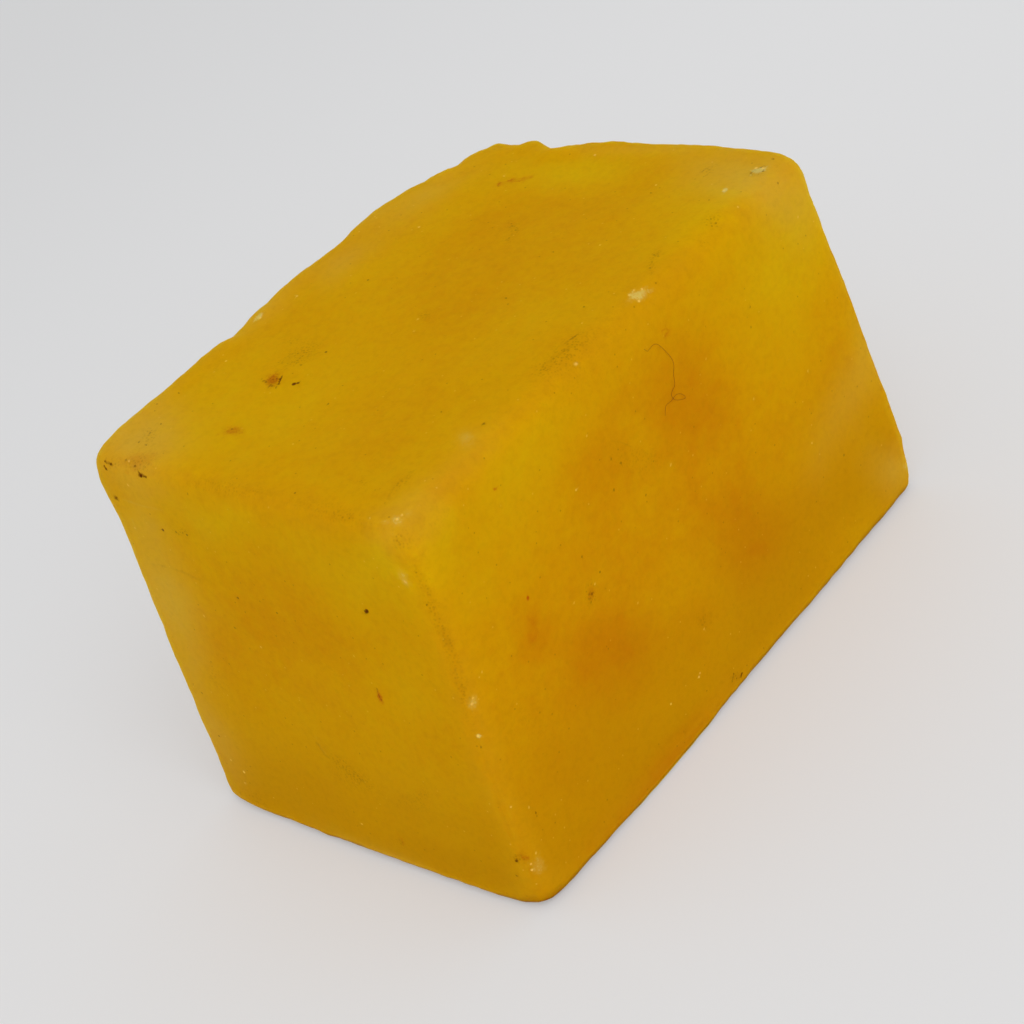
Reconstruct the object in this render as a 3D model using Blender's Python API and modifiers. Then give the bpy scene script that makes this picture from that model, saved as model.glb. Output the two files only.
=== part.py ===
"""Rough sapphire: one waxy yellow lump, a nearly rectangular block with worn edges and a broken corner.

Metres, +Z up. The stone lies on its flat base with its long side along X. The origin is the middle of
the base's bounding box. Front is -Y, left is -X.
"""
import math

import bmesh
import bpy
from mathutils import Matrix, Vector, noise

MM = 0.001
STONE_NAME = "sapphire"

# Driving dimensions: the block before its edges were worn.
LENGTH = 36.7 * MM         # front bottom edge, along X
DEPTH = 24.9 * MM          # left bottom edge, along Y
HEIGHT = 23.7 * MM         # upright edge at the front left

# How far the block is out of square.
LEFT_LEAN = 1.4 * MM       # the left face leans in at the top
FRONT_LEAN = 1.5 * MM      # the front face leans in at the top
BACK_LEAN = 0.2 * MM       # the back face leans in at the top left
BACK_SWELL = 0.9 * MM      # and out at the top right
LEFT_SKEW = 0.65 * MM      # the left face turns in towards the back
END_SKEW = 2.4 * MM        # the right end turns in towards the back
TOP_FALL = 1.25 * MM       # the top falls from the front left to the front right
TOP_BACK_FALL = 1.05 * MM  # and to the back right

# Edges and faces that aren't quite straight.
FOOT_BOW = 0.55 * MM       # the foot of the left face bows out
END_BOW = 0.85 * MM        # the right end swells low down at the front
END_TOP_BOW = 1.15 * MM    # and along its top edge
BACK_HOLLOW = 0.2 * MM     # the top's back edge is hollow
RIDGE_CROWN = 0.45 * MM    # the top's front edge is crowned
UPRIGHT_WANDER = 0.3 * MM  # the front left upright wanders to either side
GRID_CUTS = 11             # vertex rows inside each face of the block

# Wear: how far each edge is worn back, as a share of WEAR_WIDTH.
WEAR_WIDTH = 1.3 * MM
WEAR_SEGMENTS = 3
EDGE_WEAR = {
    "front_top": 0.85,
    "left_top": 0.70,
    "back_top": 0.42,
    "right_top": 0.42,
    "front_left_upright": 0.75,
    "front_right_upright": 0.60,
    "back_left_upright": 0.60,
    "back_right_upright": 0.90,
    "base": 0.30,
}

# The top's front edge is rubbed flat, deepest at the left end: where, how deep and how it runs out.
RUBBED_PLACE = Vector((2.0, 1.3, 23.8)) * MM
RUBBED_DEPTH = 0.95 * MM
RUBBED_TILT = math.radians(3.0)
RUBBED_SIZE = 30.0 * MM

# The broken corner at the top back right: the break runs through these three points.
BREAK_TOP_LEFT = Vector((26.6, 25.2, 22.8)) * MM
BREAK_TOP_RIGHT = Vector((34.1, 22.65, 22.4)) * MM
BREAK_FOOT = Vector((34.2, 25.3, 8.0)) * MM
BREAK_SIZE = 30.0 * MM
BREAK_CUTS = 40
BREAK_RELIEF = 0.7 * MM
BREAK_GRAIN = 4.0 * MM

# Shell-shaped bites: name, place on the block in mm, way out of it, radius and depth in mm.
BITES = (
    ("back_edge_chip", (13.4, 24.6, 23.5), (0, 1, 1), 1.6, 0.45),
    ("left_corner_notch", (1.7, 24.8, 20.5), (-1, 1, 0), 1.2, 0.45),
    ("left_edge_nick", (1.5, 24.8, 17.5), (-1, 1, 0), 0.7, 0.3),
    ("break_notch", (31.8, 23.4, 22.5), (0, 1, 1), 1.2, 0.5),
    ("end_edge_dip", (34.6, 20.9, 22.5), (1, 0, 1), 1.3, 0.35),
    ("foot_step", (15.9, 0.0, 0.3), (0, -1, -0.3), 1.0, 0.2),
    ("end_edge_hollow", (34.9, 17.9, 22.4), (1, 0, 1), 3.0, 0.22),
    ("back_shell_high", (6.0, 25.0, 14.5), (0, 1, 0.02), 46.0, 0.45),
    ("back_shell_middle", (18.5, 25.2, 11.0), (0, 1, -0.02), 52.0, 0.5),
    ("back_shell_low", (9.0, 25.0, 4.5), (0, 1, -0.03), 34.0, 0.4),
    ("back_shell_right", (28.5, 25.3, 5.5), (0.04, 1, -0.03), 38.0, 0.5),
    ("end_shell_middle", (34.9, 16.0, 11.0), (1, 0.12, 0), 46.0, 0.5),
    ("end_shell_low", (35.3, 14.0, 3.5), (1, 0.1, -0.05), 30.0, 0.35),
    ("back_foot_chip", (19.0, 24.9, 0.2), (0, 1, -0.5), 2.6, 0.5),
    ("back_upright_chip", (34.2, 25.0, 4.0), (1, 1, 0), 3.4, 1.0),
    ("end_foot_chip", (35.4, 13.0, 0.2), (1, 0, -0.5), 2.2, 0.45),
)
BITE_ROUGHNESS = 0.012    # unevenness of a bite, as a share of its radius
BITE_GRAIN = 0.3          # size of that unevenness, as a share of the radius
BITE_FACET = 1.6 * MM     # about how long the edges of a large bite's cutter are
BITE_RINGS = 16           # fewest rings of a small bite's cutter

# Surface: fusing, smoothing and the soft unevenness of a worn stone.
FUSE_SIZE = 0.35 * MM
SMOOTH_PASSES = 8
WAVES = (                 # wavelength, height
    (9.0 * MM, 0.16 * MM),
    (3.2 * MM, 0.07 * MM),
)
FLAT_BELOW = 0.25 * MM    # the base stays flat below this height
WAVES_FULL_ABOVE = 1.6 * MM
TRIANGLES = 8400
BASE_SNAP = 0.06 * MM

STONE_COLOUR = (0.54, 0.29, 0.01, 1.0)
STONE_ROUGHNESS = 0.5


def clear_scene():
    for obj in list(bpy.data.objects):
        bpy.data.objects.remove(obj, do_unlink=True)


def make_collection(name):
    collection = bpy.data.collections.new(name)
    bpy.context.scene.collection.children.link(collection)
    return collection


def mesh_object(name, bm, collection):
    mesh = bpy.data.meshes.new(name)
    bm.to_mesh(mesh)
    bm.free()
    obj = bpy.data.objects.new(name, mesh)
    collection.objects.link(obj)
    return obj


def block_corner(right, back, top):
    """Sharp corner of the block; each argument is 0 or 1."""
    x = LENGTH * right
    y = DEPTH * back
    z = HEIGHT * top
    if top:
        x += LEFT_LEAN * (1 - right)
        z -= (TOP_BACK_FALL if back else TOP_FALL) * right
    if top and back:
        y += BACK_SWELL if right else -BACK_LEAN
    elif top:
        y += FRONT_LEAN
    if back:
        x += -END_SKEW if right else LEFT_SKEW
    return Vector((x, y, z))


def block_point(u, v, w):
    """Point of the block: u runs left to right, v front to back, w up, each from 0 to 1."""
    point = Vector()
    for right in (0, 1):
        for back in (0, 1):
            for top in (0, 1):
                share = (u if right else 1 - u) * (v if back else 1 - v) * (w if top else 1 - w)
                point += share * block_corner(right, back, top)
    swell_u, swell_v, swell_w = (4 * t * (1 - t) for t in (u, v, w))
    point.x -= FOOT_BOW * swell_v * (1 - u) * (1 - w) ** 2
    point.x += END_BOW * swell_w * (1 - w) * u * (1 - v)
    point.x += END_TOP_BOW * swell_v * u * w ** 2
    point.x -= UPRIGHT_WANDER * math.sin(math.tau * w) * (1 - u) ** 4 * (1 - v) ** 4
    point.y -= BACK_HOLLOW * swell_u * v * w ** 2
    point.z += RIDGE_CROWN * swell_u * (1 - v) ** 2 * w ** 4
    return point


def edge_kind(a, b):
    """Name of the block edge that two neighbouring grid points (in -1..1) both lie on, or None."""
    near = 1e-4
    on = [a[i] if abs(a[i] - b[i]) < near and abs(abs(a[i]) - 1) < near else 0 for i in range(3)]
    if sum(1 for side in on if side) < 2:
        return None
    right, back, top = on
    if top < 0:
        return "base"
    if top > 0:
        if right:
            return "right_top" if right > 0 else "left_top"
        return "back_top" if back > 0 else "front_top"
    return ("back" if back > 0 else "front") + ("_right" if right > 0 else "_left") + "_upright"


def make_block(collection):
    """The block with a grid of points on each face, and each edge marked with its share of wear."""
    bm = bmesh.new()
    bmesh.ops.create_cube(bm, size=2.0)
    bmesh.ops.subdivide_edges(bm, edges=bm.edges[:], cuts=GRID_CUTS, use_grid_fill=True)
    wear = bm.edges.layers.float.new("bevel_weight_edge")
    for edge in bm.edges:
        kind = edge_kind(*(vert.co for vert in edge.verts))
        if kind:
            edge[wear] = EDGE_WEAR[kind]
    for vert in bm.verts:
        vert.co = block_point(*((c + 1) / 2 for c in vert.co))
    return mesh_object(STONE_NAME, bm, collection)


def as_cutter(obj):
    obj.hide_render = True
    obj.display_type = "WIRE"
    return obj


def facing(outward, along):
    """Turn whose Z axis points outward, with its X axis as near to along as that allows."""
    z_axis = Vector(outward).normalized()
    y_axis = z_axis.cross(Vector(along)).normalized()
    return Matrix((y_axis.cross(z_axis), y_axis, z_axis)).transposed()


def make_slab_cutter(name, collection, place, turn, size, relief=0.0):
    """A cube that stands outward on the plane through place, with a rough lower half if it has relief."""
    bm = bmesh.new()
    bmesh.ops.create_cube(bm, size=size)
    if relief:
        bmesh.ops.subdivide_edges(bm, edges=bm.edges[:], cuts=BREAK_CUTS, use_grid_fill=True)
    for vert in bm.verts:
        vert.co.z += size / 2
        if vert.co.z < size / 2:
            vert.co.z += relief * noise.noise(vert.co / BREAK_GRAIN)
        vert.co = place + turn @ vert.co
    return as_cutter(mesh_object(name, bm, collection))


def make_break_cutter(collection):
    along = BREAK_TOP_RIGHT - BREAK_TOP_LEFT
    outward = along.cross(BREAK_FOOT - BREAK_TOP_LEFT)
    centre = (BREAK_TOP_LEFT + BREAK_TOP_RIGHT + BREAK_FOOT) / 3
    turn = facing(outward, along)
    return make_slab_cutter("break_cutter", collection, centre, turn, BREAK_SIZE, BREAK_RELIEF)


def make_rubbing_cutter(collection):
    outward = (Vector((0, -1, 1)).normalized() - Vector((math.tan(RUBBED_TILT), 0, 0))).normalized()
    place = RUBBED_PLACE - outward * RUBBED_DEPTH
    turn = facing(outward, (1, 0, 0))
    return make_slab_cutter("rubbing_cutter", collection, place, turn, RUBBED_SIZE)


def make_bite_cutter(bite, collection):
    name, place, outward, radius, depth = bite
    centre = (Vector(place) + Vector(outward).normalized() * (radius - depth)) * MM
    bm = bmesh.new()
    rings = max(BITE_RINGS, round(math.pi * radius * MM / BITE_FACET))
    bmesh.ops.create_uvsphere(bm, u_segments=2 * rings, v_segments=rings, radius=radius * MM)
    for vert in bm.verts:
        uneven = noise.noise((centre + vert.co) / (BITE_GRAIN * radius * MM))
        vert.co *= 1 + BITE_ROUGHNESS * uneven
        vert.co += centre
    return as_cutter(mesh_object(name, bm, collection))


def bake(obj):
    """Replace the object's mesh by what its modifiers make of it."""
    graph = bpy.context.evaluated_depsgraph_get()
    baked = bpy.data.meshes.new_from_object(obj.evaluated_get(graph))
    obj.modifiers.clear()
    obj.data = baked


def add_modifier(obj, kind, **settings):
    modifier = obj.modifiers.new(kind.title(), kind)
    for key, value in settings.items():
        setattr(modifier, key, value)
    return modifier


def wear_and_fuse(stone, cutters):
    """Round the edges, take the break and the chips away, and fuse it all in one smooth skin."""
    add_modifier(stone, "BEVEL", width=WEAR_WIDTH, segments=WEAR_SEGMENTS, limit_method="WEIGHT",
                 loop_slide=False)
    for cutter in cutters:
        add_modifier(stone, "BOOLEAN", operation="DIFFERENCE", solver="EXACT", object=cutter)
    add_modifier(stone, "REMESH", mode="VOXEL", voxel_size=FUSE_SIZE)
    add_modifier(stone, "SMOOTH", factor=0.5, iterations=SMOOTH_PASSES)
    bake(stone)


def raise_waves(stone):
    """Soft unevenness over the whole skin, fading out at the base, which stays flat."""
    bm = bmesh.new()
    bm.from_mesh(stone.data)
    bm.normal_update()
    moves = []
    for vert in bm.verts:
        fade = (vert.co.z - FLAT_BELOW) / (WAVES_FULL_ABOVE - FLAT_BELOW)
        fade = min(1.0, max(0.0, fade))
        height = sum(h * noise.noise(vert.co / wavelength) for wavelength, h in WAVES)
        moves.append(vert.normal * height * fade)
    for vert, move in zip(bm.verts, moves):
        vert.co += move
    bm.to_mesh(stone.data)
    bm.free()


def thin_out(stone):
    """Keep the triangles where the form needs them."""
    triangles = 2 * len(stone.data.polygons)
    add_modifier(stone, "DECIMATE", decimate_type="COLLAPSE", ratio=TRIANGLES / triangles,
                 use_collapse_triangulate=True)
    bake(stone)


def settle(stone):
    """Make the base one plane at z = 0 and put the origin at the middle of the base."""
    points = [vert.co for vert in stone.data.vertices]
    floor = min(p.z for p in points)
    middle_x = (min(p.x for p in points) + max(p.x for p in points)) / 2
    middle_y = (min(p.y for p in points) + max(p.y for p in points)) / 2
    for vert in stone.data.vertices:
        vert.co -= Vector((middle_x, middle_y, floor))
        if vert.co.z < BASE_SNAP:
            vert.co.z = 0.0


def stone_material():
    material = bpy.data.materials.new("waxy_yellow_stone")
    material.use_nodes = True
    shader = material.node_tree.nodes["Principled BSDF"]
    shader.inputs["Base Color"].default_value = STONE_COLOUR
    shader.inputs["Roughness"].default_value = STONE_ROUGHNESS
    shader.inputs["Metallic"].default_value = 0.0
    return material


def main():
    clear_scene()
    parts = make_collection("rough_sapphire")
    cutters = make_collection("cutters")
    stone = make_block(parts)
    tools = [make_break_cutter(cutters), make_rubbing_cutter(cutters)]
    tools += [make_bite_cutter(bite, cutters) for bite in BITES]
    wear_and_fuse(stone, tools)
    raise_waves(stone)
    thin_out(stone)
    settle(stone)
    stone.data.materials.clear()
    stone.data.materials.append(stone_material())
    stone.data.shade_smooth()


main()
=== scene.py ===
"""Rough sapphire: a worn block of milky amber-yellow stone on a pale floor.

Lengths are millimetres unless a comment says otherwise; Blender works in metres. Marks are given
in the camera's own frame, across and down in 1024ths of its width. Each one is carried onto the
stone along the camera's ray, so it lies on the surface from any side.
"""

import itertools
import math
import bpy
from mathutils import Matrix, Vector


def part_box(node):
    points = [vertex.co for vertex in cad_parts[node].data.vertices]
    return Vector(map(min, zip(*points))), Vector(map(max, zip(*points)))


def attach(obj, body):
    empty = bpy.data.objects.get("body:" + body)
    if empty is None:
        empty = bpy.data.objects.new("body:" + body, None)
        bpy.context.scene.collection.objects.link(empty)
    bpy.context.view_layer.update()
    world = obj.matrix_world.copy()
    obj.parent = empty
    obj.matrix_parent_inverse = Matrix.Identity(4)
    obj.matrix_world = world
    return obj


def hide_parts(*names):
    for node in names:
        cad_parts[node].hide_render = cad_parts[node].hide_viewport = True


bl_info = {
    "name": "Rough sapphire",
    "version": (1, 0, 0),
    "blender": (4, 5, 0),
    "location": "3D View > Sidebar > Sapphire",
    "description": "Builds a worn milky yellow stone, the marks and lint on it, and a pale stage",
    "category": "Add Mesh",
}

import bmesh
import bpy
import numpy as np
from bpy.props import FloatProperty, FloatVectorProperty, IntProperty, PointerProperty
from mathutils import Matrix, Vector
from mathutils.bvhtree import BVHTree

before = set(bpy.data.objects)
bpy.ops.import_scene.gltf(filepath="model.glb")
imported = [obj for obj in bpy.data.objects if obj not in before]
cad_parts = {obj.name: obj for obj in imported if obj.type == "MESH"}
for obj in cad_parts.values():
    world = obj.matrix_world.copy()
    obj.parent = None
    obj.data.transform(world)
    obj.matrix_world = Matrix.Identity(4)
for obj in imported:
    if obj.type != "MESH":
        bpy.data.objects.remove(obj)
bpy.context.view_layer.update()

MM = 0.001
STONE_NODE = "sapphire"
STONE_PIECE = "sapphire_stone"
LINT_PIECE = "lint_fibre"
STONE_BODY = "root"

# ---------------------------------------------------------------- camera
# Its place is in millimetres, its lens and sensor too, and its clipping in metres.

FRAME_SIDE = 1024
SENSOR_WIDTH = 36.0
LENS_LENGTH = 100.0
CAMERA_PLACE = Vector((-84.643, -101.637, 96.860))
CAMERA_RIGHT = Vector((0.59033405, -0.74776911, -0.30388661))
CAMERA_UP = Vector((0.60710943, 0.16325169, 0.77766769))
CAMERA_AHEAD = Vector((0.53190587, 0.64357614, -0.5503507))
FRAME_MIDDLE = (512.0, 520.0)
CLIP_START = 0.01
CLIP_END = 20.0

# ---------------------------------------------------------------- marks on the stone
# name, (across, down), (half width, half height), turn in degrees, amount from 0 to 1;
# the names say which mark a row is, and each table is one kind of mark

CLOUDS = (
    ("high", (700, 400), (60, 75), 20, 0.55),
    ("right", (765, 550), (58, 66), 30, 0.92),
    ("low", (625, 655), (70, 60), 30, 0.60),
    ("middle", (590, 640), (45, 40), 0, 0.25),
    # the front veil is painted shade that dims the front face to the brightness of the left one
    ("front_shade_veil", (600, 490), (120, 100), 40, 0.16),
    ("small_low", (533, 630), (18, 30), 0, 0.25),
    ("left", (262, 612), (80, 55), 10, 0.38),
    ("left_low", (380, 700), (95, 80), 60, 0.12),
    ("left_middle", (312, 655), (55, 45), 0, 0.20),
    ("left_high", (250, 572), (40, 26), -20, 0.16),
    ("left_rim", (216, 730), (24, 60), 22, 0.22),
    ("left_foot", (340, 780), (110, 60), -20, 0.15),
    ("front_foot", (600, 780), (90, 60), 45, 0.35),
    ("right_low", (705, 625), (45, 35), 45, 0.20),
    ("back_rim", (345, 258), (30, 14), 38, 0.28),
    ("back_smear", (620, 205), (50, 22), 15, 0.15),
    ("top", (450, 300), (75, 50), 25, 0.24),
    ("centre", (632, 558), (46, 40), 30, 0.20),
    ("front", (562, 562), (34, 34), 30, 0.12),
    ("ridge_top", (478, 416), (30, 16), 40, 0.12),
)
# clearer, yellower places in the stone; the rows on the left face are also painted light, which makes
# that face as bright as the front
GLOWS = (
    ("ridge", (505, 478), (80, 60), 45, 0.50),
    ("upper", (545, 425), (60, 40), 35, 0.30),
    ("far", (785, 262), (60, 90), -30, 0.70),
    ("left", (345, 570), (85, 55), -15, 0.60),
    ("left_low", (390, 720), (100, 60), 60, 0.25),
    ("left_foot", (330, 770), (120, 50), -20, 0.10),
    ("foot_line", (430, 834), (70, 14), -17, 0.22),
    ("left_top", (228, 522), (36, 18), -8, 0.42),
    ("left_ridge", (322, 484), (30, 12), -15, 0.22),
    ("left_corner", (384, 548), (30, 26), 0, 0.30),
    ("front_low", (474, 600), (30, 40), -20, 0.20),
    ("far_high", (704, 300), (26, 26), 0, 0.16),
    ("front_high", (638, 434), (26, 30), 0, 0.28),
    ("front_ridge", (618, 378), (24, 18), 40, 0.14),
    ("top_left", (215, 430), (110, 60), 30, 0.35),
    ("break", (575, 172), (60, 22), 5, 0.75),
    ("far_ridge", (700, 232), (50, 30), 20, 0.38),
    ("near_corner", (440, 520), (26, 20), 35, 0.78),
    ("far_corner", (795, 198), (36, 44), -20, 0.70),
    ("end_foot", (858, 532), (62, 26), 50, 0.45),
    ("broken_rim", (640, 152), (85, 8), 0, 0.35),
    ("front_corner", (420, 558), (45, 60), -20, 0.74),
)
WARMS = (
    ("foot_line", (655, 780), (118, 14), 50, 0.24),
    ("middle_foot", (700, 725), (60, 12), 50, 0.10),
    ("left_rim", (214, 735), (16, 58), 22, 0.20),
    ("back_rim", (345, 250), (50, 14), 38, 0.10),
)
# painted reflection: a pale sheen on the rubbed, frosted rims, where their rough skin reflects the
# white surroundings
RIM_SHEENS = (
    ("left_corner", (135, 440), (55, 45), 30, 0.85),
    ("left_rim", (168, 600), (30, 75), 22, 0.85),
    ("left_low", (208, 725), (20, 60), 22, 0.50),
    ("left_foot", (234, 745), (24, 52), 22, 0.12),
    ("back", (343, 262), (34, 16), 38, 0.42),
    ("back_rim", (425, 195), (60, 16), 35, 0.45),
    ("top_right", (745, 175), (64, 26), -10, 0.65),
    ("far_corner", (800, 195), (30, 45), -20, 0.50),
    ("upper_rim", (262, 308), (62, 10), 40, 0.40),
    ("high_rim", (378, 212), (28, 9), 35, 0.32),
    ("broken_rim", (640, 150), (85, 6), 0, 0.30),
    ("far_rim", (862, 370), (21, 95), -18, 0.40),
    ("front_corner", (405, 515), (60, 26), 35, 0.36),
    ("ridge", (470, 455), (60, 22), 45, 0.12),
    ("ridge_veil", (466, 437), (10, 8), 0, 0.30),
    ("end_corner", (893, 470), (22, 28), 0, 0.60),
    ("foot", (395, 857), (95, 5), -17, 0.35),
)
BRUISES = (
    ("ridge", (638, 295), (12.0, 6.5), 12, 0.60),
    ("ridge_bruise_tail", (650, 291), (5.0, 3.0), 20, 0.40),
    ("corner", (397, 520), (7.5, 6.5), 20, 0.42),
    ("corner_bruise_side", (408, 513), (5.0, 4.0), 20, 0.22),
    ("corner_bruise_wing", (386, 522), (6.0, 3.5), 0, 0.25),
    ("faint_ridge", (465, 438), (8.5, 6.5), 40, 0.28),
    ("upright", (404, 579), (4.5, 10.0), 25, 0.35),
    ("upright_low", (473, 703), (5.5, 8.5), -10, 0.38),
    ("upright_spark", (479, 736), (2.6, 2.2), 0, 0.90),
    ("foot", (539, 866), (9.0, 9.0), 0, 0.34),
    ("far", (725, 190), (3.6, 3.0), 40, 0.85),
    ("far_graze", (760, 170), (10.0, 3.2), 12, 0.80),
    ("ridge_spark", (576, 364), (2.8, 2.4), 0, 0.42),
    ("back_flake", (258, 317), (7.5, 2.6), 38, 0.62),
    ("end_chip", (906, 466), (4.0, 4.0), 0, 0.30),
)
SOILS = (
    ("top_smudge", (273, 381), (8.0, 6.0), 25, 0.34),
    ("left_smudge", (235, 431), (9.0, 4.0), 15, 0.14),
    ("corner", (137, 461), (15.0, 8.0), 20, 0.10),
    ("corner_soil_dark", (141, 475), (4.5, 2.2), -20, 0.60),
    ("notch", (116, 498), (4.5, 2.2), -35, 0.55),
    ("round_speck", (367, 611), (2.3, 2.3), 0, 1.0),
    ("top_speck_c", (483, 424), (3.0, 1.4), 30, 0.55),
    ("corner_smear", (400, 542), (8.0, 8.0), 0, 0.10),
    ("front_brown", (591, 594), (3.0, 8.0), -10, 0.12),
    ("foot_speck", (517, 861), (2.4, 1.6), -30, 0.70),
    ("foot", (523, 858), (7.0, 3.5), -20, 0.18),
    ("edge", (737, 677), (6.0, 3.5), 20, 0.12),
    ("far_graze_rim", (757, 172), (13.0, 4.5), 12, 0.27),
)
RUSTS = (
    ("red_speck_a", (495, 489), (2.0, 1.6), 0, 0.62),
    ("red_speck_b", (528, 598), (1.6, 3.2), 0, 0.90),
    ("red_smear", (534, 624), (5.0, 9.0), -15, 0.20),
    ("red_smear_low", (531, 638), (4.0, 7.0), 25, 0.22),
    ("smudge", (273, 380), (9.0, 6.5), 20, 0.56),
    ("smudge_glow", (273, 379), (13.0, 9.0), 10, 0.15),
    ("left_smudge_glow", (234, 431), (12.0, 5.5), 12, 0.46),
    ("corner", (138, 460), (19.0, 9.0), 15, 0.22),
    ("deep_orange_a", (758, 550), (13.0, 10.0), 0, 0.20),
    ("deep_orange_b", (624, 652), (14.0, 12.0), 0, 0.16),
    ("deep_orange_c", (665, 765), (26.0, 12.0), 48, 0.10),
    ("front", (591, 594), (4.0, 9.0), -10, 0.34),
    ("foot", (526, 858), (6.0, 2.5), -10, 0.40),
    ("brown_leaf", (380, 697), (2.6, 8.0), 22, 0.60),
    ("mid", (430, 320), (9.0, 6.0), 0, 0.12),
)
GRIMES = (
    ("scratch", (297, 357), (22, 8), 31, 1.0),
    ("scratch_grime_high", (293, 341), (7, 3.5), 10, 0.7),
    ("smear", (564, 353), (28, 8), 43, 0.55),
    ("smear_grime_low", (543, 368), (14, 6), 30, 0.5),
    ("smear_grime_wide", (572, 347), (40, 18), 40, 0.12),
    ("corner", (140, 463), (16, 10), 15, 0.6),
    ("corner_grime_high", (149, 436), (8, 9), 0, 0.6),
    ("end", (112, 464), (9, 6), 20, 0.7),
    ("edge", (225, 487), (50, 9), -8, 0.35),
    ("edge_grime_right", (335, 513), (46, 9), -17, 0.32),
    ("speck", (342, 515), (8, 4), 0, 0.6),
    ("short_smear", (363, 482), (2.5, 5), 0, 0.8),
    ("top_smear", (513, 228), (5, 8), 25, 0.9),
    ("top_smear_low", (508, 240), (5, 4), 0, 0.5),
    ("ridge_squiggle", (656, 255), (6, 4), 30, 0.8),
    ("ridge_squiggle_low", (651, 268), (4, 8), 0, 0.6),
    ("far_cluster", (713, 222), (9, 7), 0, 0.8),
    ("far_squiggle", (709, 170), (6, 5), 0, 0.6),
    ("far_pair", (706, 243), (12, 4), 0, 0.4),
    ("middle_smear", (424, 316), (8, 4), 10, 0.7),
    ("brown_dots", (705, 621), (7, 7), 0, 0.7),
    ("front_brown_dots", (591, 594), (5, 11), -8, 1.0),
    ("foot_dots", (519, 859), (9, 5), -20, 0.9),
    ("low_dots", (423, 796), (6, 9), 0, 0.5),
    ("long_low_scratch", (343, 765), (34, 4), -40, 0.5),
    ("upright_band", (436, 615), (52, 7), -67, 0.55),
    ("upright_band_low", (462, 690), (45, 6), -74, 0.45),
    ("left_low_squiggle", (216, 680), (7, 10), 35, 0.5),
    ("hatch_dots", (737, 677), (8, 5), 15, 0.6),
    ("edge_brown", (684, 730), (3, 5), 0, 0.6),
    ("corner_brown", (400, 541), (9, 9), 0, 0.6),
    ("ridge_line", (401, 483), (18, 4), 45, 0.6),
    ("left_dots", (182, 533), (9, 4), -8, 0.9),
    ("low_edge", (258, 801), (14, 5), -35, 0.6),
    ("foot_squiggle", (401, 841), (4, 6), 0, 0.6),
    ("middle", (640, 460), (30, 14), -10, 0.3),
    ("ridge", (590, 338), (62, 20), 42, 0.10),
    ("front_top", (560, 405), (66, 30), 42, 0.10),
    ("near_corner", (436, 516), (34, 18), 35, 0.12),
    ("front_low", (530, 730), (34, 40), 0, 0.12),
    ("left_foot_smear", (350, 776), (28, 10), -35, 0.40),
    ("left_foot_smear_low", (410, 802), (16, 9), -20, 0.35),
)

# across, down, radius, strength
PALE_DOTS = (
    (244, 772, 2.0, 1.5), (478, 736, 1.8, 1.4), (419, 227, 1.6, 1.3), (671, 704, 1.6, 1.2),
    (532, 870, 1.8, 1.0), (699, 677, 1.5, 1.2), (700, 673, 1.4, 0.9), (362, 824, 1.5, 1.1),
    (639, 301, 1.8, 1.1), (642, 289, 1.6, 0.9), (629, 295, 1.8, 0.7), (634, 290, 1.6, 0.7),
    (260, 318, 1.9, 0.9), (576, 490, 1.5, 1.2), (724, 190, 2.0, 1.2), (297, 296, 1.5, 1.1),
    (472, 704, 2.0, 0.7), (473, 698, 1.8, 0.6), (656, 185, 1.5, 1.1), (226, 361, 1.6, 1.0),
    (595, 155, 1.5, 1.0), (418, 319, 1.5, 0.9), (261, 647, 1.6, 0.8), (600, 245, 1.4, 1.0),
    (511, 807, 1.5, 0.8), (531, 864, 1.6, 0.8), (812, 443, 1.5, 0.8), (231, 760, 1.6, 0.8),
    (204, 616, 1.5, 0.7), (536, 853, 1.5, 0.7), (756, 168, 2.2, 1.0), (763, 168, 1.8, 0.7),
    (576, 364, 2.0, 0.6), (595, 584, 1.5, 0.7), (397, 519, 2.2, 0.9), (402, 515, 1.7, 0.7),
    (504, 176, 1.6, 0.6), (704, 629, 1.5, 0.6), (482, 672, 1.5, 0.6), (129, 461, 1.5, 0.6),
    (808, 371, 1.4, 0.7), (293, 444, 1.4, 0.6), (529, 807, 1.4, 0.6), (128, 485, 1.5, 0.6),
    (354, 656, 1.4, 0.6), (245, 783, 1.7, 0.5), (638, 603, 1.4, 0.5), (738, 207, 1.4, 0.6),
    (671, 464, 1.4, 0.6), (798, 217, 1.7, 0.5), (135, 528, 1.6, 0.5), (405, 582, 2.0, 0.5),
    (587, 436, 1.3, 0.6), (754, 399, 1.3, 0.6), (370, 518, 1.4, 0.5), (706, 359, 1.3, 0.5),
    (574, 603, 1.3, 0.5), (693, 455, 1.3, 0.5), (582, 323, 1.4, 0.5), (414, 331, 1.4, 0.5),
)
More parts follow.
